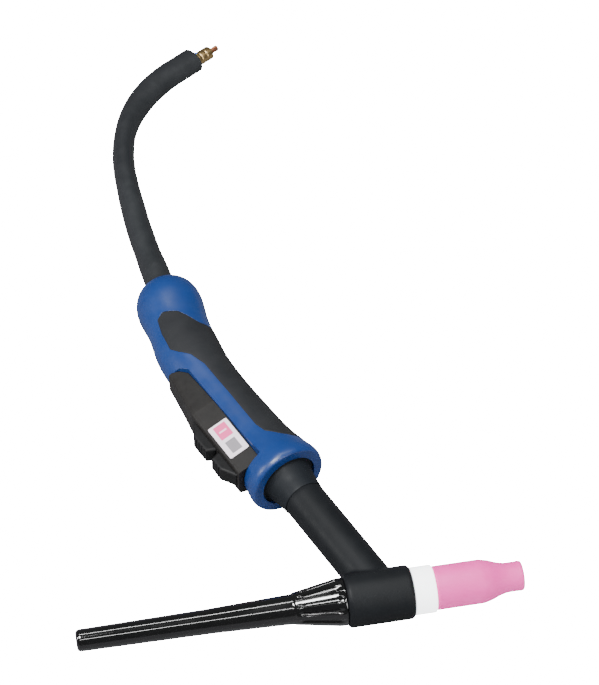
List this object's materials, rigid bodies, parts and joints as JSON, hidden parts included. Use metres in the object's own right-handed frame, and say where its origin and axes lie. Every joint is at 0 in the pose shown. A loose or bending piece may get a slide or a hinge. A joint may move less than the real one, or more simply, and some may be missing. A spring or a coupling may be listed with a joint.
{
  "type": "tig welding torch",
  "caption": "Gas-cooled TIG welding torch: angled head with long back cap and pink ceramic nozzle, slim neck, curved two-tone handle with push buttons, and a length of cable.",
  "frame": {"origin": "middle of the bare length of the neck that a torch holder clamps, on the neck axis", "axes": "+X parallel to the head axis, towards the gas nozzle; +Y from the head towards the handle and cable; +Z square to the plane of the torch, up as the torch lies on its side. The handle trigger side is -X"},
  "size_m": [0.2307, 0.4588, 0.0438],
  "materials": {
    "boot_rubber": "matte moulded rubber",
    "head_rubber": "satin moulded rubber",
    "handle_blue": "fine satin texture",
    "grip_black": "soft matte overmould",
    "module_black": "fine satin texture",
    "button_black": "matte, ribbed",
    "cap_black": "glossy phenolic",
    "alumina_pink": "matte fired alumina",
    "ptfe_white": "smooth white",
    "brass_head": "turned",
    "copper": "drawn copper",
    "tungsten": "ground grey metal",
    "steel_screw": "zinc plated",
    "board_green": "solder mask",
    "switch_black": "moulded",
    "plunger_red": "moulded",
    "label_paper": "satin printed film with plain colour blocks",
    "seal_rubber": "nitrile",
    "sleeve_black": "matte, slightly creased",
    "hose_grey": "smooth",
    "ball_black": "smooth moulded nylon",
    "lead_grey": "smooth insulation"
  },
  "bodies": {
    "torch": {"torch_body": "brass_head", "neck_tube": "copper", "head_insulator": "head_rubber", "heat_shield_ring": "ptfe_white", "collet_body": "copper", "collet": "copper", "neck_boot": "boot_rubber", "handle_shell_left": "handle_blue", "handle_shell_right": "handle_blue", "grip_inlay_left": "grip_black", "grip_inlay_right": "grip_black", "shell_screws": "steel_screw", "switch_module_housing": "module_black", "rating_label": "label_paper", "micro_switches": "switch_black", "switch_board": "board_green", "switch_lead": "lead_grey", "hose_connector": "brass_head"},
    "cap_thread": {"cap_seal": "seal_rubber"},
    "cap": {"back_cap": "cap_black"},
    "nozzle": {"gas_nozzle": "alumina_pink"},
    "electrode": {"tungsten_electrode": "tungsten"},
    "front_trigger": {"trigger_button_front": "button_black", "plunger_front": "plunger_red"},
    "rear_trigger": {"trigger_button_rear": "button_black", "plunger_rear": "plunger_red"},
    "cable": {"cable_ball_joint": "ball_black", "cable_sleeve": "sleeve_black", "gas_hose": "hose_grey", "power_conductor": "copper", "control_cable": "lead_grey", "hose_ferrule": "brass_head"}
  },
  "joints": [
    {"name": "front_trigger_press", "type": "slide", "parent": "torch", "child": "front_trigger", "axis": [0.9272, 0.3746, 0], "range_m": [0, 0.0012]},
    {"name": "rear_trigger_press", "type": "slide", "parent": "torch", "child": "rear_trigger", "axis": [0.9272, 0.3746, 0], "range_m": [0, 0.0012]},
    {"name": "cap_travel", "type": "slide", "parent": "torch", "child": "cap_thread", "axis": [-1, 0, 0], "range_m": [0, 0.008]},
    {"name": "cap_unscrew", "type": "hinge", "parent": "cap_thread", "child": "cap", "pos_m": [-0.04183, -0.04497, 0], "axis": [-1, 0, 0], "range_deg": [0, 2880]},
    {"name": "nozzle_unscrew", "type": "slide", "parent": "torch", "child": "nozzle", "axis": [1, 0, 0], "range_m": [0, 0.012]},
    {"name": "electrode_slide", "type": "slide", "parent": "torch", "child": "electrode", "axis": [1, 0, 0], "range_m": [-0.04, 0.012]},
    {"name": "cable_swing", "type": "hinge", "parent": "torch", "child": "cable", "pos_m": [-0.06003, 0.17979, 0], "axis": [0, 0, 1], "range_deg": [-15, 15]}
  ],
  "couplings": [
    {"joint": "cap_travel", "follows": "cap_unscrew", "m_per_rad": 0.00015915}
  ]
}
